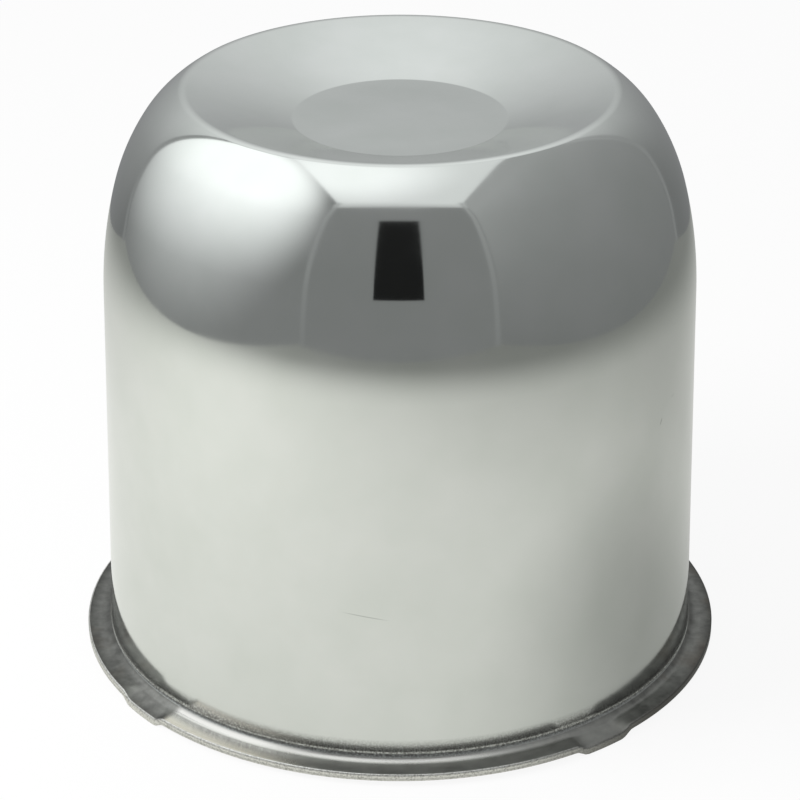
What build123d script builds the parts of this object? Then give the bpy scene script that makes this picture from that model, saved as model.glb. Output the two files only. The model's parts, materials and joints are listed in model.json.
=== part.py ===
from build123d import *
import os
from math import cos, degrees, radians, sin, tan

os.makedirs("parts", exist_ok=True)

# Push-through wheel center cap, deep drawn in one piece from stainless steel sheet.
# Origin on the axis at the level of the feet, +Z towards the crown, front towards -Y.
# Lengths are in millimetres and angles in degrees.

# Sheet and overall size
sheet = 1.2
overall_height = 105.5

# Wall: a plain land that pilots in the wheel's bore, then a slight draft
wall_radius = 53.75
land_height = 10.5
draft = 1.15

# Shoulder: three arcs that tighten towards the crest
low_shoulder_radius = 76.9
low_shoulder_turn = 13.8
mid_shoulder_radius = 37.8
mid_shoulder_turn = 18.3
top_shoulder_radius = 22.1
top_shoulder_turn = 24.4

# Crown: a tight crest round a shallow dish with a flat disc at its bottom
crest_inside_radius = 0.8
dish_slope = 17.6
disc_radius = 18.8

# Flange: turned out flat at the mouth, with its rim trimmed along the axis
flange_width = 4.7

# Nubs: stretches of the flange pressed down at its rim, which the cap stands on
nub_count = 4
nub_length = 10.5
nub_width = 3.55
nub_droop = 16.5
nub_bearing = -52.0

# Radii and heights that follow from these
flange_radius = wall_radius + flange_width
fold_radius = flange_radius - nub_width
nub_fall = nub_width * tan(radians(nub_droop))
nub_sweep = degrees(nub_length / flange_radius)
flange_height = nub_fall + sheet / cos(radians(nub_droop))
land_top = flange_height + land_height
crest_radius = crest_inside_radius + sheet

# Each shoulder arc: its radius, and the slope of the face's normal at its lower and upper end
mid_slope = draft + low_shoulder_turn
top_slope = mid_slope + mid_shoulder_turn
crest_slope = top_slope + top_shoulder_turn
shoulder_arcs = [
    (low_shoulder_radius, draft, mid_slope),
    (mid_shoulder_radius, mid_slope, top_slope),
    (top_shoulder_radius, top_slope, crest_slope),
]
shoulder_rise = sum(r * (sin(radians(b)) - sin(radians(a))) for r, a, b in shoulder_arcs)
shoulder_inset = sum(r * (cos(radians(a)) - cos(radians(b))) for r, a, b in shoulder_arcs)

# The drafted wall fills the height between the land and the shoulder
crest_rise = crest_radius * (1 - sin(radians(crest_slope)))
drafted_rise = overall_height - crest_rise - shoulder_rise - land_top
drafted_inset = drafted_rise * tan(radians(draft))

# The dish runs from the crest's inner tangent down to the disc
crest_inset = crest_radius * (cos(radians(crest_slope)) + sin(radians(dish_slope)))
dish_radius = wall_radius - drafted_inset - shoulder_inset - crest_inset
dish_top = overall_height - crest_radius * (1 - cos(radians(dish_slope)))
disc_height = dish_top - (dish_radius - disc_radius) * tan(radians(dish_slope))


def thicken_face():
    """Turn the polished face's line into the closed outline of a sheet that lies under it."""
    return offset(amount=sheet, kind=Kind.INTERSECTION, side=Side.RIGHT)


# One stretch of flange pressed down from a fold line, and trimmed along the axis at the rim
with BuildPart() as pressed_nub:
    with BuildSketch(Plane.XZ):
        with BuildLine():
            flat = Line((wall_radius, flange_height), (fold_radius, flange_height))
            PolarLine(flat @ 1, 2 * nub_width, -nub_droop)
            thicken_face()
        make_face()
        with Locations((flange_radius, 0)):
            Rectangle(2 * nub_width, 2 * overall_height, align=(Align.MIN, Align.CENTER), mode=Mode.SUBTRACT)
    revolve(axis=Axis.Z, revolution_arc=nub_sweep)

# The stretch of flat flange that each nub takes the place of
with BuildPart() as flat_stretch:
    with BuildSketch(Plane.XZ):
        with Locations((wall_radius, flange_height)):
            Rectangle(2 * flange_width, 2 * sheet, align=(Align.MIN, Align.MAX))
    revolve(axis=Axis.Z, revolution_arc=nub_sweep)

# The drawn cap, its polished face traced from the axis to the rim, then the nubs pressed into its flange
with BuildPart() as cap:
    with BuildSketch(Plane.XZ):
        with BuildLine():
            dish = Polyline((0, disc_height), (disc_radius, disc_height), (dish_radius, dish_top))
            face = JernArc(dish @ 1, dish % 1, crest_radius, crest_slope - dish_slope - 90)
            for radius, low_slope, high_slope in reversed(shoulder_arcs):
                face = JernArc(face @ 1, face % 1, radius, low_slope - high_slope)
            crease = (wall_radius, flange_height)
            Polyline(face @ 1, (wall_radius, land_top), crease, (flange_radius, flange_height))
            thicken_face()
        make_face()
    revolve(axis=Axis.Z)
    with PolarLocations(0, nub_count, start_angle=nub_bearing - nub_sweep / 2):
        add(flat_stretch.part, mode=Mode.SUBTRACT)
    with PolarLocations(0, nub_count, start_angle=nub_bearing - nub_sweep / 2):
        add(pressed_nub.part)

cap.part.label = "center_cap"
export_step(cap.part, "parts/center_cap.step")
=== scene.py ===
# %% [markdown]
# # A push-through wheel center cap
# The real cap is one blank of stainless steel sheet, deep drawn into a tall cup and buffed to a mirror. Its
# crown is dished, with a flat disc at the bottom of the dish, and a narrow flange at its mouth keeps it
# from falling through the wheel. A mirror has no colour of its own, so half of this lesson is about the cap
# and the other half is about what stands around it.

# %% Load the frame
import json
from math import atan2, cos, degrees, hypot, radians, sin, tan

import bmesh
import bpy
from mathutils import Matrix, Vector


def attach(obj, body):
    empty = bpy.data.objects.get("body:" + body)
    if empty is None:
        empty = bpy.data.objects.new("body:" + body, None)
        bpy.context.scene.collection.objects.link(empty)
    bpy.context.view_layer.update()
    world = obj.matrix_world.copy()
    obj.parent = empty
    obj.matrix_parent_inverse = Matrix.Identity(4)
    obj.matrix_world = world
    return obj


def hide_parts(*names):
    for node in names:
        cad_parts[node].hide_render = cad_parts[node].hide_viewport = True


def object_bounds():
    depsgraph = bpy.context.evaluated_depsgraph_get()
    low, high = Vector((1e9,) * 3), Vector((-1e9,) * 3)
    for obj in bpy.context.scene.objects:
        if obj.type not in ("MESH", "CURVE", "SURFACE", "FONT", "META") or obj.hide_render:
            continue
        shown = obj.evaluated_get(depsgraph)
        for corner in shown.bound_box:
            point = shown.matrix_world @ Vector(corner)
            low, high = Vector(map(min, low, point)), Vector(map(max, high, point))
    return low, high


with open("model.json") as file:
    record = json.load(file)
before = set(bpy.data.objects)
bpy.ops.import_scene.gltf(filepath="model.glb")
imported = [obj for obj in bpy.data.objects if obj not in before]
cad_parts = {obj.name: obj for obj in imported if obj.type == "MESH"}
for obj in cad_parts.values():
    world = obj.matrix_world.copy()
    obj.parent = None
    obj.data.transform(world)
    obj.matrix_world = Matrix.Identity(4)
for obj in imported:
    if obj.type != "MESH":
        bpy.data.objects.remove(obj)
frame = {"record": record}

cad_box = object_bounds()
print("CAD box in metres:", [tuple(round(c, 5) for c in corner) for corner in cad_box])

# %% [markdown]
# ## Sizes
# The sheet's section is the whole design of a drawn part, so the sizes below are those of its polished
# face, in millimetres and degrees. What the frame already knows is read from it: the outer size from the
# box, the wall and its straight land from the mount that pilots in the wheel, and the disc's height from
# the mount on top. The rest repeats the maker's sizes. Small roundings, of the crease, the edge of the disc
# and the upper edge of the rim, only show in a close view, so they belong to the looks.

# %% Sizes of the cap
MM = 0.001
mounts = {mount["name"]: mount for mount in frame["record"]["mounts"]}
land = mounts["wheel_bore_land"]

wall_radius = land["dims"]["r_mm"]
land_height = land["dims"]["length_mm"]
flange_height = land["pos_m"][2] / MM - land_height / 2
disc_height = mounts["crown_disc"]["pos_m"][2] / MM
flange_radius = cad_box[1].x / MM

sheet = 1.2
disc_radius = 18.8
dish_slope = 17.6
crest_radius = 2.0
draft = 1.15
shoulder_arcs = [(22.1, 24.4), (37.8, 18.3), (76.9, 13.8)]   # radius and turn of each, from the crest down

disc_edge_rounding = 0.8
crease_rounding = 1.8
rim_roll = 0.3

nub_count = 4
nub_bearing = -52.0
nub_length = 10.5
nub_width = 3.55
nub_droop = 16.5
nub_end = 2.6
print(f"wall {2 * wall_radius:.2f} mm across")
print(f"flange {2 * flange_radius:.2f} mm across, {flange_height:.2f} mm up")

# %% [markdown]
# ## Camera
# The camera comes first, because every later step is judged in its picture. It looks at the cap from the
# front and about 26 degrees above the floor, through a long lens: the two sides of the wall stay nearly
# parallel.

# %% Camera
camera_place = (0.0, -474.56, 277.55)
camera_pitch = 26.1215
camera_lens = 130.706

bpy.ops.object.select_all(action="DESELECT")
bpy.ops.object.camera_add(
    location=[c * MM for c in camera_place],
    rotation=(radians(90 - camera_pitch), 0, 0),
)
camera = bpy.context.object
camera.data.lens = camera_lens
camera.data.sensor_width = 36.0
camera.data.clip_start = 10 * MM
bpy.context.scene.camera = camera
print("camera lens", round(camera.data.lens, 2), "mm")

# %% [markdown]
# ## The section of the sheet
# A turned form needs only half of its section. It could be drawn as a curve, but a chain of straight and
# round strokes says more about how the tool that formed it was cut, so a small pen is used: it walks from
# the axis outwards along the polished face, straight ahead or round an arc, and leaves points behind. Each
# point also keeps the direction square to the face, because the underside is the same line one sheet
# thickness deeper.

# %% A pen that draws the polished face
class Pen:
    """Walks along the section and keeps each point with the direction square to the face there."""

    def __init__(self, radius, height):
        self.radius, self.height, self.heading = radius, height, 0.0
        self.points = []
        self.mark()

    def mark(self):
        square = (-sin(radians(self.heading)), cos(radians(self.heading)))
        self.points.append(((self.radius, self.height), square))

    def ahead(self, length, steps):
        for _ in range(steps):
            self.radius += length / steps * cos(radians(self.heading))
            self.height += length / steps * sin(radians(self.heading))
            self.mark()

    def round(self, bend_radius, turn, steps):
        """Turns left for a positive turn, as in a hollow, and right for a negative one, as over a hump."""
        chord = 2 * bend_radius * sin(radians(abs(turn) / steps / 2))
        for _ in range(steps):
            self.heading += turn / steps / 2
            self.radius += chord * cos(radians(self.heading))
            self.height += chord * sin(radians(self.heading))
            self.heading += turn / steps / 2
            self.mark()


# %% Draw the section
edge_setback = disc_edge_rounding * tan(radians(dish_slope / 2))
total_turn = sum(turn for _, turn in shoulder_arcs)
crest_turn = 90 + dish_slope - draft - total_turn

# Crest and shoulder are walked once from the edge of the disc, with no dish and no drafted wall at all
trial = Pen(disc_radius, 0.0)
trial.heading = dish_slope
trial.round(crest_radius, -crest_turn, steps=1)
for bend_radius, turn in shoulder_arcs:
    trial.round(bend_radius, -turn, steps=1)
missing_reach = wall_radius - trial.radius

# What is then missing, across to the wall's radius and down to the top of the land, gives both their lengths
drop = flange_height + land_height - disc_height - trial.height
slope_out, slope_up = cos(radians(dish_slope)), sin(radians(dish_slope))
draft_out, draft_down = sin(radians(draft)), -cos(radians(draft))
closing = slope_out * draft_down - slope_up * draft_out
dish_length = (missing_reach * draft_down - drop * draft_out) / closing
wall_length = (slope_out * drop - slope_up * missing_reach) / closing

pen = Pen(0.0, disc_height)
pen.ahead(disc_radius - edge_setback, steps=4)
pen.round(disc_edge_rounding, dish_slope, steps=4)
pen.ahead(dish_length - edge_setback, steps=5)
pen.round(crest_radius, -crest_turn, steps=12)
for bend_radius, turn in shoulder_arcs:
    pen.round(bend_radius, -turn, steps=12)
pen.ahead(wall_length, steps=10)
pen.heading = -90.0
pen.ahead(land_height - crease_rounding, steps=3)
pen.round(crease_rounding, 90, steps=14)
pen.ahead(flange_radius - rim_roll - pen.radius, steps=5)

polished_face = [point for point, _ in pen.points]
under_face = [(r - sheet * nr, z - sheet * nz) for (r, z), (nr, nz) in pen.points]
roll = Pen(*polished_face[-1])
roll.round(rim_roll, -90, steps=4)
cut_edge = [point for point, _ in roll.points[1:]] + [(flange_radius, flange_height - sheet)]
section = polished_face + cut_edge + list(reversed(under_face))
print(f"section of {len(section)} points, dish {dish_length:.2f} mm, drafted wall {wall_length:.2f} mm long")
print(f"crown at {max(z for _, z in section):.3f} mm, CAD box top {cad_box[1].z / MM:.3f} mm")

# %% [markdown]
# ## Spinning the cap
# The section becomes a chain of edges: a plane shrunk to one vertex, extruded from point to point. Screw
# and Spin both turn such a chain into a form, and Spin closes the circle by itself. It goes round in 480
# steps, so that 120 of them lie between one nub and the next, and so that the outline stays smooth in a
# close view.

# %% Chain of edges
bpy.ops.object.select_all(action="DESELECT")
bpy.ops.mesh.primitive_plane_add(size=2 * MM)
cap = bpy.context.object
cap.name = "drawn_cap"
bpy.ops.object.mode_set(mode="EDIT")
bpy.ops.mesh.select_all(action="SELECT")
bpy.ops.mesh.merge(type="CENTER")
bpy.ops.transform.translate(value=(section[0][0] * MM, 0, section[0][1] * MM))
for (r0, z0), (r1, z1) in zip(section, section[1:]):
    step = ((r1 - r0) * MM, 0, (z1 - z0) * MM)
    bpy.ops.mesh.extrude_region_move(TRANSFORM_OT_translate={"value": step})
bpy.ops.mesh.select_all(action="SELECT")
bpy.ops.transform.rotate(
    value=-radians(nub_bearing), orient_axis="Z", center_override=(0, 0, 0)
)
print(len(section) - 1, "edges in the chain")

# %% Spin
spin_steps = 480
weld_distance = 0.002

bpy.ops.mesh.spin(steps=spin_steps, angle=radians(360), center=(0, 0, 0), axis=(0, 0, 1))
bpy.ops.mesh.select_all(action="SELECT")
bpy.ops.mesh.remove_doubles(threshold=weld_distance * MM)
bpy.ops.mesh.normals_make_consistent(inside=False)
bpy.ops.object.mode_set(mode="OBJECT")
print(len(cap.data.vertices), "vertices,", len(cap.data.polygons), "faces after the spin")

# %% [markdown]
# ## Pressed nubs
# Four short stretches of the flange are pressed down at the rim, and the cap stands on them. On the real
# part a punch hinges the metal down along a line close to the crease. Every point falls by an amount that
# depends on its radius, which no single operator can do, so the fall is a formula: the plane of the hinged
# flange, sunk by the point's own depth in the sheet. Points that already lie below that plane stay where
# they are. Sheet can't be bent round a sharp corner without tearing, so each nub eases into the flat flange
# over a few millimetres.

# %% Press the nubs
fold_radius = flange_radius - nub_width
nub_half_angle = degrees(nub_length / flange_radius) / 2
ease_angle = degrees(nub_end / flange_radius)


def nub_share(x, y):
    """1 inside a nub, 0 outside, and an S-curve in between where the nub's end eases into the flange."""
    bearing = degrees(atan2(y, x)) - nub_bearing
    spacing = 360 / nub_count
    off_center = abs((bearing + spacing / 2) % spacing - spacing / 2)
    share = min(1.0, max(0.0, (nub_half_angle - off_center) / ease_angle + 0.5))
    return share * share * (3 - 2 * share)


bpy.ops.object.mode_set(mode="EDIT")
edit = bmesh.from_edit_mesh(cap.data)
pressed = 0
for vertex in edit.verts:
    r, z = hypot(vertex.co.x, vertex.co.y) / MM, vertex.co.z / MM
    depth = flange_height - z
    hinged = flange_height - (r - fold_radius) * tan(radians(nub_droop)) - depth / cos(radians(nub_droop))
    fall = nub_share(vertex.co.x, vertex.co.y) * max(0.0, z - hinged)
    vertex.co.z -= fall * MM
    pressed += fall > 0
bmesh.update_edit_mesh(cap.data)
bpy.ops.object.mode_set(mode="OBJECT")
print(pressed, "points pressed down, lowest", round(min(v.co.z for v in cap.data.vertices) / MM, 4), "mm")

# %% [markdown]
# ## Smooth faces and crisp edges
# Drawn sheet is smooth, but its sheared rim has crisp edges. Shading that is smooth all over would smear
# those edges, and flat shading would show every facet. So the faces are smooth except where two of them
# meet at a large angle.

# %% Smooth shading
crisp_above = 35.0

bpy.ops.object.shade_smooth_by_angle(angle=radians(crisp_above))
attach(cap, "root")
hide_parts("center_cap")
print("edges above", crisp_above, "degrees stay crisp")

# %% [markdown]
# ## Colours and nodes
# Four helpers serve the materials. Colours are written as sRGB hex values, as a colour picker shows them,
# and one function turns them to the linear values that the shaders count with. One small function adds a
# node with its settings and links, one starts a bare metal, and one writes the stops of a colour ramp.

# %% Helpers for materials
def linear(hex_code):
    """A linear colour for the shaders from an sRGB hex value."""
    parts = [int(hex_code[i:i + 2], 16) / 255 for i in (1, 3, 5)]
    return [c / 12.92 if c <= 0.04045 else ((c + 0.055) / 1.055) ** 2.4 for c in parts] + [1.0]


def add_node(tree, kind, settings=None, links=None):
    """Adds a node; settings and links name sockets by name or number, other settings are the node's own."""
    node = tree.nodes.new(kind)
    for name, value in (settings or {}).items():
        if isinstance(name, int) or name in node.inputs:
            node.inputs[name].default_value = value
        else:
            setattr(node, name, value)
    for name, source in (links or {}).items():
        tree.links.new(source, node.inputs[name])
    return node


def new_metal(name, roughness):
    """A bare metal; its roughness holds where nothing is linked. Gives material, tree and shader."""
    material = bpy.data.materials.new(name)
    material.use_nodes = True
    shader = material.node_tree.nodes["Principled BSDF"]
    shader.inputs["Metallic"].default_value = 1.0
    shader.inputs["Roughness"].default_value = roughness
    return material, material.node_tree, shader


def set_ramp(ramp, *stops):
    """Gives a colour ramp its stops, each a place from 0 to 1 and a hex colour."""
    elements = ramp.color_ramp.elements
    while len(elements) < len(stops):
        elements.new(1.0)
    for element, (place, hex_code) in zip(elements, stops):
        element.position = place
        element.color = linear(hex_code)


# %% [markdown]
# ## Mirror-polished stainless steel
# The outside was ground and buffed after drawing. That leaves a mirror with a faint haze, so the roughness
# is low but not zero. Drawn sheet is never quite round or even: it keeps shallow waves some 30 mm long and
# a hundredth of a millimetre deep, which let the edges of a reflection wander. They could be modelled, but
# the mesh would need to be far finer, so they are a bump.

# %% Mirror-polished stainless steel
wave_length = 30.0
wave_depth = 0.012
haze_patch = 12.0
clear_roughness, hazy_roughness = 0.06, 0.11

mirror, tree, shader = new_metal("mirror_polished_stainless", 0.08)
place = add_node(tree, "ShaderNodeTexCoord")
waves = add_node(
    tree, "ShaderNodeTexNoise",
    {"Scale": 1 / (wave_length * MM), "Detail": 1.0},
    {"Vector": place.outputs["Object"]},
)
bump = add_node(
    tree, "ShaderNodeBump",
    {"Distance": wave_depth * MM, "Strength": 1.0},
    {"Height": waves.outputs["Fac"]},
)
haze = add_node(
    tree, "ShaderNodeTexNoise",
    {"Scale": 1 / (haze_patch * MM), "Detail": 3.0},
    {"Vector": place.outputs["Object"]},
)
haze_range = add_node(
    tree, "ShaderNodeMapRange",
    {"From Min": 0.35, "From Max": 0.75, "To Min": clear_roughness, "To Max": hazy_roughness},
    {"Value": haze.outputs["Fac"]},
)
tone = add_node(tree, "ShaderNodeValToRGB", None, {"Fac": haze.outputs["Fac"]})
set_ramp(tone, (0.3, "#D6D9D4"), (0.7, "#DCDEDA"))
print("waves of", wave_length, "mm, haze in patches of", haze_patch, "mm")

# %% [markdown]
# ## Corner above the crease
# The buffing wheel can't follow the wall right into the crease. In the last few millimetres the mirror
# turns hazy and gritty. Close to the corner a dark line of painted shade stands for the shade in the
# crease. Both could be painted by hand, but they only depend on the height above the flange, so that
# height drives them, and a fine noise breaks them into grains. Real grit is finer than a tenth of a
# millimetre; it is drawn at 0.3 mm, so that it shows.

# %% Haze near the crease
haze_height = 8.0
crease_haze = 0.3
grit = 0.3
grit_depth = 0.04

height = add_node(tree, "ShaderNodeSeparateXYZ", None, {"Vector": place.outputs["Object"]})
near_crease = add_node(
    tree, "ShaderNodeMapRange",
    {"From Min": (flange_height + haze_height) * MM, "From Max": flange_height * MM,
     "To Min": 0.0, "To Max": crease_haze},
    {"Value": height.outputs["Z"]},
)
specks = add_node(
    tree, "ShaderNodeTexNoise",
    {"Scale": 1 / (grit * MM), "Detail": 2.0},
    {"Vector": place.outputs["Object"]},
)
gritty = add_node(
    tree, "ShaderNodeMath", {"operation": "MULTIPLY"},
    {0: near_crease.outputs["Result"], 1: specks.outputs["Fac"]},
)
hazed = add_node(
    tree, "ShaderNodeMath", {"operation": "ADD"},
    {0: haze_range.outputs["Result"], 1: gritty.outputs["Value"]},
)
tree.links.new(hazed.outputs["Value"], shader.inputs["Roughness"])
rough_spots = add_node(
    tree, "ShaderNodeBump",
    {"Distance": grit_depth * MM, "Strength": 1.0},
    {"Height": gritty.outputs["Value"], "Normal": bump.outputs["Normal"]},
)
tree.links.new(rough_spots.outputs["Normal"], shader.inputs["Normal"])
print("hazy up to", haze_height, "mm above the flange")

# %% Painted shade above the crease
crease_shade_height = 5.0
least_dark, most_dark = 0.28, 0.8

above = add_node(
    tree, "ShaderNodeMapRange",
    {"From Min": flange_height * MM, "From Max": (flange_height + crease_shade_height) * MM},
    {"Value": height.outputs["Z"]},
)
# Painted shade: a dark line in the corner just above the crease, broken into grains by the grit
corner = add_node(tree, "ShaderNodeValToRGB", None, {"Fac": above.outputs["Result"]})
set_ramp(corner, (0.1, "#000000"), (0.2, "#FFFFFF"), (0.36, "#FFFFFF"), (0.8, "#000000"))
spotty = add_node(
    tree, "ShaderNodeMapRange",
    {"From Min": 0.35, "From Max": 0.6, "To Min": least_dark, "To Max": most_dark},
    {"Value": specks.outputs["Fac"]},
)
crease_shade_share = add_node(
    tree, "ShaderNodeMath", {"operation": "MULTIPLY"},
    {0: corner.outputs["Color"], 1: spotty.outputs["Result"]},
)
crease_shaded = add_node(
    tree, "ShaderNodeMix",
    {"data_type": "RGBA", 7: linear("#55524E")},
    {0: crease_shade_share.outputs["Value"], 6: tone.outputs["Color"]},
)
print("dark line within", crease_shade_height, "mm of the flange")

# %% [markdown]
# ## Marks on the wall
# A mirror shows every touch. Three fine marks are on this wall: a faint scratch low in front, and two short
# ticks on the right. They could be cut into the mesh, but they are only a few tenths of a millimetre wide.
# So each is a thin ellipsoid in Object coordinates, and the metal is darker where the wall runs through it.

# %% Marks on the wall
# Each end is a bearing round the axis in degrees and a height; then half the width, and how dark
long_scratch = ((-101.0, 31.0), (-91.5, 29.7), 0.12, 0.30)
dark_tick = ((-31.5, 55.2), (-32.5, 53.8), 0.14, 0.55)
faint_tick = ((-26.5, 57.8), (-27.7, 57.3), 0.12, 0.30)
mark_depth = 1.0


def on_wall(bearing, height):
    """The point of the drafted wall at a bearing and a height."""
    r = wall_radius - (height - flange_height - land_height) * tan(radians(draft))
    return Vector((r * cos(radians(bearing)), r * sin(radians(bearing)), height)) * MM


def mark_share(start, end, half_width, darkness):
    """How much a point belongs to a mark: an ellipsoid that lies along it and fades towards its skin."""
    start, end = on_wall(*start), on_wall(*end)
    along = end - start
    frame_of_mark = add_node(
        tree, "ShaderNodeMapping",
        {"vector_type": "TEXTURE", "Location": (start + end) / 2,
         "Rotation": along.to_track_quat("X", "Z").to_euler(),
         "Scale": (along.length / 2, mark_depth * MM, half_width * MM)},
        {"Vector": place.outputs["Object"]},
    )
    away = add_node(
        tree, "ShaderNodeVectorMath", {"operation": "LENGTH"}, {0: frame_of_mark.outputs["Vector"]}
    )
    return add_node(
        tree, "ShaderNodeMapRange",
        {"From Min": 1.0, "From Max": 0.5, "To Min": 0.0, "To Max": darkness},
        {"Value": away.outputs["Value"]},
    )


marked = crease_shaded.outputs[2]
for mark in (long_scratch, dark_tick, faint_tick):
    share = mark_share(*mark)
    darkened = add_node(
        tree, "ShaderNodeMix",
        {"data_type": "RGBA", 7: linear("#3E3E3B")},
        {0: share.outputs["Result"], 6: marked},
    )
    marked = darkened.outputs[2]
tree.links.new(marked, shader.inputs["Base Color"])
print("made", mirror.name, "with a scratch at", [round(c / MM, 1) for c in on_wall(*long_scratch[0])])

# %% [markdown]
# ## Unbuffed flange
# The buffing wheel hardly reaches into the corner, so most of the flange keeps the dull, dark surface that
# drawing leaves: blurred and mottled, with a few warm stains. Nobody could place these by hand, so they are
# noise at the sizes that they have on the cap.

# %% Drawn, unbuffed stainless steel
mottle_size = 1.6
mottle_depth = 0.02
least_blur, most_blur = 0.3, 0.44

drawn, tree, shader = new_metal("drawn_unbuffed_stainless", 0.38)
place = add_node(tree, "ShaderNodeTexCoord")
mottle = add_node(
    tree, "ShaderNodeTexNoise",
    {"Scale": 1 / (mottle_size * MM), "Detail": 5.0},
    {"Vector": place.outputs["Object"]},
)
grey = add_node(tree, "ShaderNodeValToRGB", None, {"Fac": mottle.outputs["Fac"]})
set_ramp(grey, (0.3, "#7A7A76"), (0.7, "#999994"))
blur = add_node(
    tree, "ShaderNodeMapRange",
    {"From Min": 0.3, "From Max": 0.7, "To Min": least_blur, "To Max": most_blur},
    {"Value": mottle.outputs["Fac"]},
)
bump = add_node(
    tree, "ShaderNodeBump",
    {"Distance": mottle_depth * MM, "Strength": 0.4},
    {"Height": mottle.outputs["Fac"]},
)
tree.links.new(bump.outputs["Normal"], shader.inputs["Normal"])
print("mottled in spots of", mottle_size, "mm")

# %% Painted shading across the flange, and stains
convex_shading_share = 0.9
stain_size = 7.0
most_stain = 0.3

# Painted light and shade, as on a rounded flange: paler in the middle, darkest at the rim
flat_place = add_node(
    tree, "ShaderNodeVectorMath",
    {"operation": "MULTIPLY", 1: (1.0, 1.0, 0.0)},
    {0: place.outputs["Object"]},
)
reach = add_node(tree, "ShaderNodeVectorMath", {"operation": "LENGTH"}, {0: flat_place.outputs["Vector"]})
across = add_node(
    tree, "ShaderNodeMapRange",
    {"From Min": (wall_radius + crease_rounding / 2) * MM, "From Max": flange_radius * MM},
    {"Value": reach.outputs["Value"]},
)
convex_shading = add_node(tree, "ShaderNodeValToRGB", None, {"Fac": across.outputs["Result"]})
set_ramp(convex_shading, (0.0, "#B8B8B8"), (0.4, "#C8C8C8"), (0.7, "#A0A0A0"), (1.0, "#585858"))
convex_shaded = add_node(
    tree, "ShaderNodeMix",
    {"data_type": "RGBA", "blend_type": "SOFT_LIGHT", 0: convex_shading_share},
    {6: grey.outputs["Color"], 7: convex_shading.outputs["Color"]},
)
stains = add_node(
    tree, "ShaderNodeTexNoise",
    {"Scale": 1 / (stain_size * MM), "Detail": 2.0},
    {"Vector": place.outputs["Object"]},
)
stain_share = add_node(
    tree, "ShaderNodeMapRange",
    {"From Min": 0.52, "From Max": 0.75, "To Min": 0.0, "To Max": most_stain},
    {"Value": stains.outputs["Fac"]},
)
stained = add_node(
    tree, "ShaderNodeMix",
    {"data_type": "RGBA", 7: linear("#77624C")},
    {0: stain_share.outputs["Result"], 6: convex_shaded.outputs[2]},
)
print("stains of", stain_size, "mm")

# %% [markdown]
# ## The stretch that the buffing wheel caught, with a painted highlight
# Left of the front the wheel did reach the flange, and there it is nearly as bright as the wall: it is
# smoother, and its near-white tone, palest in the middle of the flange, is a painted highlight. The stretch
# could be a painted picture, but it only depends on the bearing round the axis. So it is a mask between two
# bearings: sharp behind a nub, and soft towards the front. In the crease it goes on a little longer, as a
# painted highlight of the crease's rounding. All of the flange is also somewhat paler in front than at its
# sides: a painted reflection.

# %% The buffed stretch and its painted highlight
buffed_from, buffed_from_ease = -136.8, 2.0
buffed_to, buffed_to_ease = -102.0, 16.0
crease_to, crease_to_ease = -64.0, 16.0
crease_highlight_share = 0.7

direction = add_node(
    tree, "ShaderNodeVectorMath", {"operation": "NORMALIZE"}, {0: flat_place.outputs["Vector"]}
)


def turned_past(tree, direction, bearing, ease):
    """1 where a point lies turned past a bearing, or short of it for a negative ease, and 0 elsewhere."""
    way = 1 if ease > 0 else -1
    square = (-way * sin(radians(bearing)), way * cos(radians(bearing)), 0.0)
    sine = add_node(
        tree, "ShaderNodeVectorMath",
        {"operation": "DOT_PRODUCT", 1: square},
        {0: direction.outputs["Vector"]},
    )
    return add_node(
        tree, "ShaderNodeMapRange",
        {"interpolation_type": "SMOOTHSTEP", "From Min": 0.0, "From Max": sin(radians(abs(ease)))},
        {"Value": sine.outputs["Value"]},
    )


after_nub = turned_past(tree, direction, buffed_from, buffed_from_ease)
before_front = turned_past(tree, direction, buffed_to, -buffed_to_ease)
past_front = turned_past(tree, direction, crease_to, -crease_to_ease)
# Painted highlight: in the crease's rounding the bright stretch goes on a little longer
crease_highlight_band = add_node(
    tree, "ShaderNodeMapRange",
    {"From Min": (wall_radius + crease_rounding) * MM, "From Max": (wall_radius + crease_rounding / 2) * MM,
     "To Max": crease_highlight_share},
    {"Value": reach.outputs["Value"]},
)
crease_highlight_stretch = add_node(
    tree, "ShaderNodeMath", {"operation": "MULTIPLY"},
    {0: past_front.outputs["Result"], 1: crease_highlight_band.outputs["Result"]},
)
caught = add_node(
    tree, "ShaderNodeMath", {"operation": "MAXIMUM"},
    {0: before_front.outputs["Result"], 1: crease_highlight_stretch.outputs["Value"]},
)
buffed_and_highlit = add_node(
    tree, "ShaderNodeMath", {"operation": "MULTIPLY"},
    {0: after_nub.outputs["Result"], 1: caught.outputs["Value"]},
)
print("buffed from", buffed_from, "to", buffed_to, "degrees round the axis")

# %% Tones of the flange
front_reflection_half_angle = 50.0
front_reflection_share = 0.55
buffed_roughness = 0.18

# Painted highlight: the buffed stretch is near white, palest in the middle of the flange
buffed_highlight_tone = add_node(tree, "ShaderNodeValToRGB", None, {"Fac": across.outputs["Result"]})
set_ramp(buffed_highlight_tone, (0.0, "#CFCDC8"), (0.3, "#FAF8F4"), (0.7, "#FBF4E8"), (1.0, "#CCC4B8"))
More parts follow.
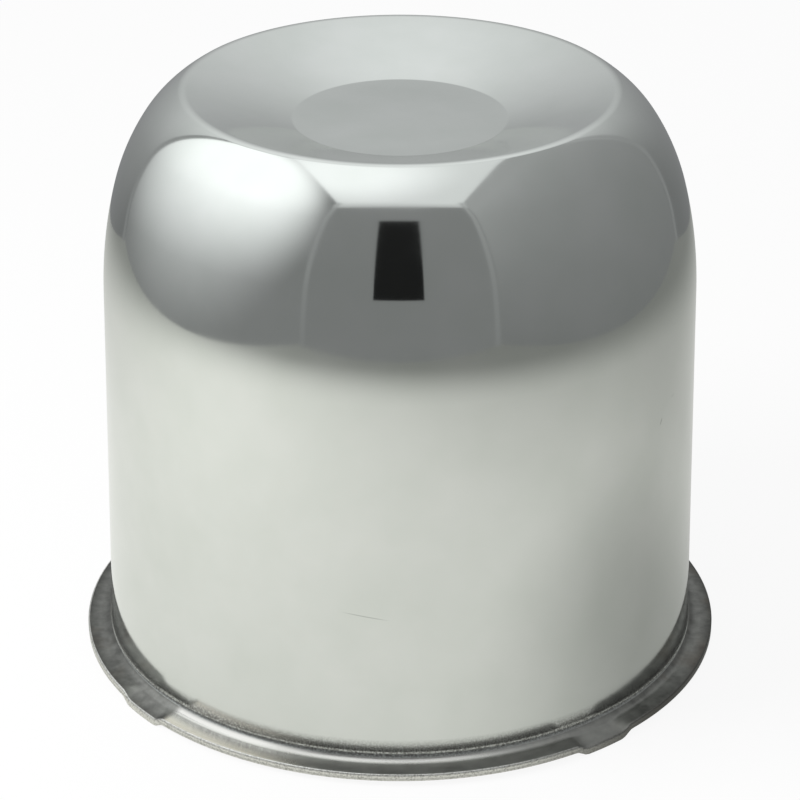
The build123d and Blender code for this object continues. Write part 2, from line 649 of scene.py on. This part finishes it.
# Painted reflection: the whole flange is paler towards the front
frontness = add_node(
    tree, "ShaderNodeVectorMath",
    {"operation": "DOT_PRODUCT", 1: (0.0, -1.0, 0.0)},
    {0: direction.outputs["Vector"]},
)
front_reflection_mask = add_node(
    tree, "ShaderNodeMapRange",
    {"From Min": cos(radians(front_reflection_half_angle)), "From Max": 1.0, "To Max": front_reflection_share},
    {"Value": frontness.outputs["Value"]},
)
front_reflected = add_node(
    tree, "ShaderNodeMix",
    {"data_type": "RGBA", 7: linear("#E0DFDA")},
    {0: front_reflection_mask.outputs["Result"], 6: stained.outputs[2]},
)
toned = add_node(
    tree, "ShaderNodeMix",
    {"data_type": "RGBA"},
    {0: buffed_and_highlit.outputs["Value"], 6: front_reflected.outputs[2], 7: buffed_highlight_tone.outputs["Color"]},
)
blur_toned = add_node(
    tree, "ShaderNodeMix",
    {"data_type": "FLOAT", 3: buffed_roughness},
    {0: buffed_and_highlit.outputs["Value"], 2: blur.outputs["Result"]},
)
tree.links.new(toned.outputs[2], shader.inputs["Base Color"])
tree.links.new(blur_toned.outputs[0], shader.inputs["Roughness"])
print("made", drawn.name)

# %% [markdown]
# ## Sheared rim
# The flange was trimmed in a press after drawing. The cut metal is bare and pale, with a fine grain of torn
# and smeared spots. The real grain is a few hundredths of a millimetre; it is drawn at 0.3 mm, so that it
# shows. The cut also leaves bands along the rim, one above the other, which a ramp over the sheet's
# thickness gives. Towards the right, away from the lamp, the rim is darker: painted shade, with a mask like
# that of the flange.

# %% Sheared stainless edge
grain_size = 0.3
grain_depth = 0.02

sheared, tree, shader = new_metal("sheared_stainless_edge", 0.42)
place = add_node(tree, "ShaderNodeTexCoord")
grain = add_node(
    tree, "ShaderNodeTexNoise",
    {"Scale": 1 / (grain_size * MM), "Detail": 3.0},
    {"Vector": place.outputs["Object"]},
)
grain_tone = add_node(tree, "ShaderNodeValToRGB", None, {"Fac": grain.outputs["Fac"]})
set_ramp(grain_tone, (0.32, "#B9B8B2"), (0.55, "#F0EFEA"))
bump = add_node(
    tree, "ShaderNodeBump",
    {"Distance": grain_depth * MM, "Strength": 0.5},
    {"Height": grain.outputs["Fac"]},
)
tree.links.new(bump.outputs["Normal"], shader.inputs["Normal"])
print("grain of", grain_size, "mm")

# %% Bands and painted shade along the rim
band_share = 0.45
rim_shade_from, rim_shade_ease = -75.0, 40.0

height = add_node(tree, "ShaderNodeSeparateXYZ", None, {"Vector": place.outputs["Object"]})
through = add_node(
    tree, "ShaderNodeMapRange",
    {"From Min": (flange_height - sheet) * MM, "From Max": flange_height * MM},
    {"Value": height.outputs["Z"]},
)
bands = add_node(tree, "ShaderNodeValToRGB", None, {"Fac": through.outputs["Result"]})
set_ramp(bands, (0.0, "#D8D8D4"), (0.3, "#8A8A88"), (0.55, "#F2F2EE"), (0.8, "#A4A4A2"), (1.0, "#FFFFFF"))
banded = add_node(
    tree, "ShaderNodeMix",
    {"data_type": "RGBA", "blend_type": "MULTIPLY", 0: band_share},
    {6: grain_tone.outputs["Color"], 7: bands.outputs["Color"]},
)
flat_place = add_node(
    tree, "ShaderNodeVectorMath", {"operation": "MULTIPLY", 1: (1.0, 1.0, 0.0)}, {0: place.outputs["Object"]}
)
direction = add_node(
    tree, "ShaderNodeVectorMath", {"operation": "NORMALIZE"}, {0: flat_place.outputs["Vector"]}
)
# Painted shade: the rim darkens towards the right, the side away from the lamp
rim_shade_mask = turned_past(tree, direction, rim_shade_from, rim_shade_ease)
rim_tone = add_node(
    tree, "ShaderNodeMix",
    {"data_type": "RGBA", 7: linear("#6A6965")},
    {0: rim_shade_mask.outputs["Result"], 6: banded.outputs[2]},
)
tree.links.new(rim_tone.outputs[2], shader.inputs["Base Color"])
print("made", sheared.name)

# %% [markdown]
# ## Inside
# Nobody polishes the inside of a cap. It keeps the grey finish of the sheet as it left the mill, with
# drawing lines that run up the wall, where the punch and the metal slid past each other. They are a noise
# that is stretched along the axis.

# %% Mill-finish stainless steel
line_width = 0.6
line_length = 40.0
smooth_line, rough_line = 0.34, 0.48

mill, tree, shader = new_metal("mill_finish_stainless", 0.4)
place = add_node(tree, "ShaderNodeTexCoord")
stretch = add_node(
    tree, "ShaderNodeMapping",
    {"Scale": (1.0, 1.0, line_width / line_length)},
    {"Vector": place.outputs["Object"]},
)
lines = add_node(
    tree, "ShaderNodeTexNoise",
    {"Scale": 1 / (line_width * MM), "Detail": 3.0},
    {"Vector": stretch.outputs["Vector"]},
)
line_tone = add_node(tree, "ShaderNodeValToRGB", None, {"Fac": lines.outputs["Fac"]})
set_ramp(line_tone, (0.3, "#A3A39F"), (0.7, "#B9B9B4"))
line_blur = add_node(
    tree, "ShaderNodeMapRange",
    {"From Min": 0.3, "From Max": 0.7, "To Min": smooth_line, "To Max": rough_line},
    {"Value": lines.outputs["Fac"]},
)
tree.links.new(line_tone.outputs["Color"], shader.inputs["Base Color"])
tree.links.new(line_blur.outputs["Result"], shader.inputs["Roughness"])
print("made", mill.name)

# %% [markdown]
# ## Which face has which finish
# The four finishes meet along edges of the mesh, so no mask is needed. Each face can be told by its place
# and by the way it looks: the rim stands at the largest radius, the underside looks inwards or down, and
# the flange starts a little way into the rounding of the crease.

# %% Give the faces their finishes
flange_from = wall_radius + 0.25 * crease_rounding
looks_down = -0.2
looks_inwards = -0.7

finishes = [mirror, drawn, sheared, mill]
for material in finishes:
    cap.data.materials.append(material)


def finish_of(face):
    """The finish of one face, by its place on the cap and the way it looks."""
    r = hypot(face.center.x, face.center.y) / MM
    outwards = (face.center.x * face.normal.x + face.center.y * face.normal.y) / (r * MM)
    if r > flange_radius - rim_roll:
        return sheared
    if face.normal.z < looks_down or outwards < looks_inwards:
        return mill
    if r > flange_from:
        return drawn
    return mirror


counts = {material.name: 0 for material in finishes}
for face in cap.data.polygons:
    finish = finish_of(face)
    face.material_index = finishes.index(finish)
    counts[finish.name] += 1
print(counts)

# %% [markdown]
# ## Floor
# The cap stands on plain white paper that keeps its soft shadow. Most of what the wall shows is this floor,
# so its tone matters twice. To the eye it is white all over. In the metal it glows too, with a smaller
# share, and fades with the distance from the cap, as a floor does that is lit only in the middle. That fade
# is what makes the wall look round and deep. A second, smaller fade is the cap's shade at its right foot.

# %% Floor
floor_size = 4000.0

bpy.ops.object.select_all(action="DESELECT")
bpy.ops.mesh.primitive_plane_add(size=floor_size * MM)
floor = bpy.context.object
floor.name = "floor"

paper = bpy.data.materials.new("white_paper")
paper.use_nodes = True
tree = paper.node_tree
shader = tree.nodes["Principled BSDF"]
shader.inputs["Roughness"].default_value = 0.9
shader.inputs["Specular IOR Level"].default_value = 0.2
floor.data.materials.append(paper)
print("floor of", floor_size, "mm")

# %% Tone of the paper in the metal
lit_spot = (-30.0, -45.0, 0.0)
lit_inside, dark_outside = 110.0, 350.0
shade_spot = (78.0, -30.0, 0.0)
shade_inside, shade_outside = 10.0, 85.0
shade_share = 0.58

place = add_node(tree, "ShaderNodeTexCoord")
distance = add_node(
    tree, "ShaderNodeVectorMath",
    {"operation": "DISTANCE", 1: [c * MM for c in lit_spot]},
    {0: place.outputs["Object"]},
)
fade = add_node(
    tree, "ShaderNodeMapRange",
    {"interpolation_type": "SMOOTHSTEP", "From Min": lit_inside * MM, "From Max": dark_outside * MM},
    {"Value": distance.outputs["Value"]},
)
faded = add_node(
    tree, "ShaderNodeMix",
    {"data_type": "RGBA", 6: linear("#F3F4F0"), 7: linear("#969895")},
    {0: fade.outputs["Result"]},
)
from_shade = add_node(
    tree, "ShaderNodeVectorMath",
    {"operation": "DISTANCE", 1: [c * MM for c in shade_spot]},
    {0: place.outputs["Object"]},
)
shade = add_node(
    tree, "ShaderNodeMapRange",
    {"interpolation_type": "SMOOTHSTEP", "From Min": shade_outside * MM, "From Max": shade_inside * MM,
     "To Max": shade_share},
    {"Value": from_shade.outputs["Value"]},
)
shaded = add_node(
    tree, "ShaderNodeMix",
    {"data_type": "RGBA", 7: linear("#9A9C99")},
    {0: shade.outputs["Result"], 6: faded.outputs[2]},
)
print("paper fades from", lit_inside, "to", dark_outside, "mm from its lit middle")

# %% White to the eye
background_share = 0.9
metal_share = 0.4

ray = add_node(tree, "ShaderNodeLightPath")
seen = add_node(
    tree, "ShaderNodeMix",
    {"data_type": "RGBA", 7: linear("#FFFFFF")},
    {0: ray.outputs["Is Camera Ray"], 6: shaded.outputs[2]},
)
tree.links.new(seen.outputs[2], shader.inputs["Base Color"])
white = add_node(tree, "ShaderNodeEmission", {"Strength": 1.0}, {"Color": seen.outputs[2]})
in_metal = add_node(
    tree, "ShaderNodeMath", {"operation": "MAXIMUM"},
    {0: ray.outputs["Is Glossy Ray"], 1: ray.outputs["Is Transmission Ray"]},
)
metal_glow = add_node(
    tree, "ShaderNodeMath", {"operation": "MULTIPLY", 1: metal_share}, {0: in_metal.outputs["Value"]}
)
share = add_node(
    tree, "ShaderNodeMath", {"operation": "MULTIPLY_ADD", 1: background_share},
    {0: ray.outputs["Is Camera Ray"], 2: metal_glow.outputs["Value"]},
)
mixed = add_node(
    tree, "ShaderNodeMixShader", None,
    {0: share.outputs["Value"], 1: shader.outputs["BSDF"], 2: white.outputs["Emission"]},
)
tree.links.new(mixed.outputs["Shader"], tree.nodes["Material Output"].inputs["Surface"])
print("paper glows with a share of", background_share, "to the eye and", metal_share, "in metal")

# %% [markdown]
# ## Light tent
# A mirror is lit by what it sees. Here that is a tent of white cloth about 620 mm wide, lit from the left:
# the left side glows round a hot spot, the right side and the front are grey, and the ceiling is white.
# Sewn seams stand out as paler lines in the corners, and a small black card close to the shoulder gives it
# one deep black. A picture of a room could stand in for the tent, but panels are simpler to move. They show
# only in the metal, so they hide nothing from the camera and take no light from the floor.

# %% A panel of cloth
tent_side = 310.0
tent_front = -430.0
tent_back = 217.0
tent_top = 800.0
cloth_colour = "#FAFDFF"


def glowing_panel(name, center, size, turn, glow):
    """A flat stage panel that shines: its center, its two side lengths, its turn in degrees and its glow."""
    bpy.ops.object.select_all(action="DESELECT")
    bpy.ops.mesh.primitive_plane_add(
        size=1.0, location=[c * MM for c in center], rotation=[radians(t) for t in turn]
    )
    panel = bpy.context.object
    panel.name = name
    panel.scale = (size[0] * MM, size[1] * MM, 1.0)
    bpy.ops.object.transform_apply(location=True, rotation=True, scale=True)
    material = bpy.data.materials.new(name + "_cloth")
    material.use_nodes = True
    cloth = material.node_tree
    cloth.nodes.clear()
    output = add_node(cloth, "ShaderNodeOutputMaterial")
    emission = add_node(cloth, "ShaderNodeEmission", {"Color": linear(cloth_colour)})
    cloth.links.new(emission.outputs["Emission"], output.inputs["Surface"])
    glow(cloth, emission)
    panel.data.materials.append(material)
    panel.visible_camera = False
    panel.visible_diffuse = False
    panel.visible_shadow = False
    return panel


# %% Three ways to glow
def fade_from(spot, inner, outer, bright, dim):
    """A glow that fades with the distance from a spot: bright inside the inner one, dim past the outer."""
    def shade(cloth, emission):
        place = add_node(cloth, "ShaderNodeTexCoord")
        distance = add_node(
            cloth, "ShaderNodeVectorMath",
            {"operation": "DISTANCE", 1: [c * MM for c in spot]},
            {0: place.outputs["Object"]},
        )
        fade = add_node(
            cloth, "ShaderNodeMapRange",
            {"interpolation_type": "SMOOTHSTEP", "From Min": inner * MM, "From Max": outer * MM,
             "To Min": bright, "To Max": dim},
            {"Value": distance.outputs["Value"]},
        )
        cloth.links.new(fade.outputs["Result"], emission.inputs["Strength"])
    return shade


def fade_up(low, high, dim, bright):
    """A glow that grows from one height to another."""
    def shade(cloth, emission):
        place = add_node(cloth, "ShaderNodeTexCoord")
        split = add_node(cloth, "ShaderNodeSeparateXYZ", None, {"Vector": place.outputs["Object"]})
        fade = add_node(
            cloth, "ShaderNodeMapRange",
            {"From Min": low * MM, "From Max": high * MM, "To Min": dim, "To Max": bright},
            {"Value": split.outputs["Z"]},
        )
        cloth.links.new(fade.outputs["Result"], emission.inputs["Strength"])
    return shade


def even(strength):
    """A glow of one strength all over."""
    def shade(cloth, emission):
        emission.inputs["Strength"].default_value = strength
    return shade


# %% Hang the panels
depth = tent_back - tent_front
middle = (tent_back + tent_front) / 2
front_top = 690.0

glowing_panel(
    "left_panel", (-tent_side, middle, tent_top / 2), (tent_top, depth), (0, 90, 0),
    fade_from((-tent_side, 30, 480), inner=170, outer=520, bright=1.48, dim=0.26),
)
glowing_panel(
    "right_panel", (tent_side, middle, tent_top / 2), (tent_top, depth), (0, -90, 0),
    fade_up(low=0, high=600, dim=0.23, bright=0.44),
)
glowing_panel(
    "front_panel", (0, tent_front, front_top / 2), (2 * tent_side, front_top), (-90, 0, 0),
    fade_up(low=0, high=front_top, dim=0.25, bright=0.28),
)
glowing_panel(
    "front_valance", (0, tent_front, (front_top + tent_top) / 2),
    (2 * tent_side, tent_top - front_top), (-90, 0, 0),
    fade_up(low=front_top, high=tent_top, dim=0.6, bright=0.95),
)
glowing_panel(
    "back_panel", (0, tent_back, tent_top / 2), (2 * tent_side, tent_top), (90, 0, 0),
    fade_from((-60, tent_back, 580), inner=150, outer=640, bright=1.02, dim=0.2),
)
glowing_panel(
    "ceiling", (0, middle, tent_top), (2 * tent_side, depth), (180, 0, 0),
    fade_from((-200, -60, tent_top), inner=100, outer=480, bright=1.35, dim=0.9),
)
print("tent of", 2 * tent_side, "by", depth, "by", tent_top, "mm")

# %% Seams and card
seam_width = 20.0
seam_inset = 4.0
card_place, card_front = -0.4, -75.0
card_width = 16.6
card_low, card_high = 89.3, 128.7
card_glow = 0.015

for side, side_name in ((-1, "left"), (1, "right")):
    for end, end_name in ((tent_front + seam_inset, "front"), (tent_back - seam_inset, "back")):
        glowing_panel(
            f"{side_name}_{end_name}_seam", (side * (tent_side - seam_width), end, tent_top / 2),
            (seam_width, tent_top), (90, 0, 0), fade_up(low=0, high=tent_top, dim=0.28, bright=0.5),
        )
glowing_panel(
    "black_card", (card_place, card_front, (card_low + card_high) / 2),
    (card_width, card_high - card_low), (90, 0, 0), even(card_glow),
)
print("seams", seam_width, "mm wide, card", card_width, "mm wide")

# %% [markdown]
# ## Lamp and world
# One large soft lamp stands on the left, as the tent's glow says, and throws the cap's shadow to the right.
# It is kept out of the reflections, where only the tent belongs. A second lamp could fill the shadow; an
# even world does it without a shadow of its own. Where the world itself is seen, by the eye or in metal, it
# is white.

# %% Soft lamp
lamp_place = (-420.0, -130.0, 340.0)
lamp_size = 260.0
lamp_power = 2.05

bpy.ops.object.select_all(action="DESELECT")
bpy.ops.object.light_add(type="AREA", location=[c * MM for c in lamp_place])
lamp = bpy.context.object
lamp.name = "soft_lamp"
lamp.data.size = lamp_size * MM
lamp.data.energy = lamp_power
lamp.rotation_euler = (-lamp.location).to_track_quat("-Z", "Y").to_euler()
lamp.visible_glossy = False
print("lamp of", lamp_power, "W")

# %% White world
fill = 0.53

world = bpy.data.worlds.new("white_studio")
bpy.context.scene.world = world
world.use_nodes = True
tree = world.node_tree
ray = add_node(tree, "ShaderNodeLightPath")
in_metal = add_node(
    tree, "ShaderNodeMath", {"operation": "MAXIMUM"},
    {0: ray.outputs["Is Glossy Ray"], 1: ray.outputs["Is Transmission Ray"]},
)
shown = add_node(
    tree, "ShaderNodeMath", {"operation": "MAXIMUM"},
    {0: ray.outputs["Is Camera Ray"], 1: in_metal.outputs["Value"]},
)
strength = add_node(
    tree, "ShaderNodeMapRange", {"To Min": fill, "To Max": 1.0}, {"Value": shown.outputs["Value"]}
)
tree.nodes["Background"].inputs["Color"].default_value = linear("#FFFFFF")
tree.links.new(strength.outputs["Result"], tree.nodes["Background"].inputs["Strength"])

bpy.context.scene.view_settings.view_transform = "Standard"
print("world fills in with", fill)

# %% [markdown]
# ## Bring the scene up to date
# The dressed cap has to have the size of the plain solid that it stands for, or it would not fit where the
# solid fits. This cell only brings the scene up to date.

# %% Bring the scene up to date
bpy.context.view_layer.update()
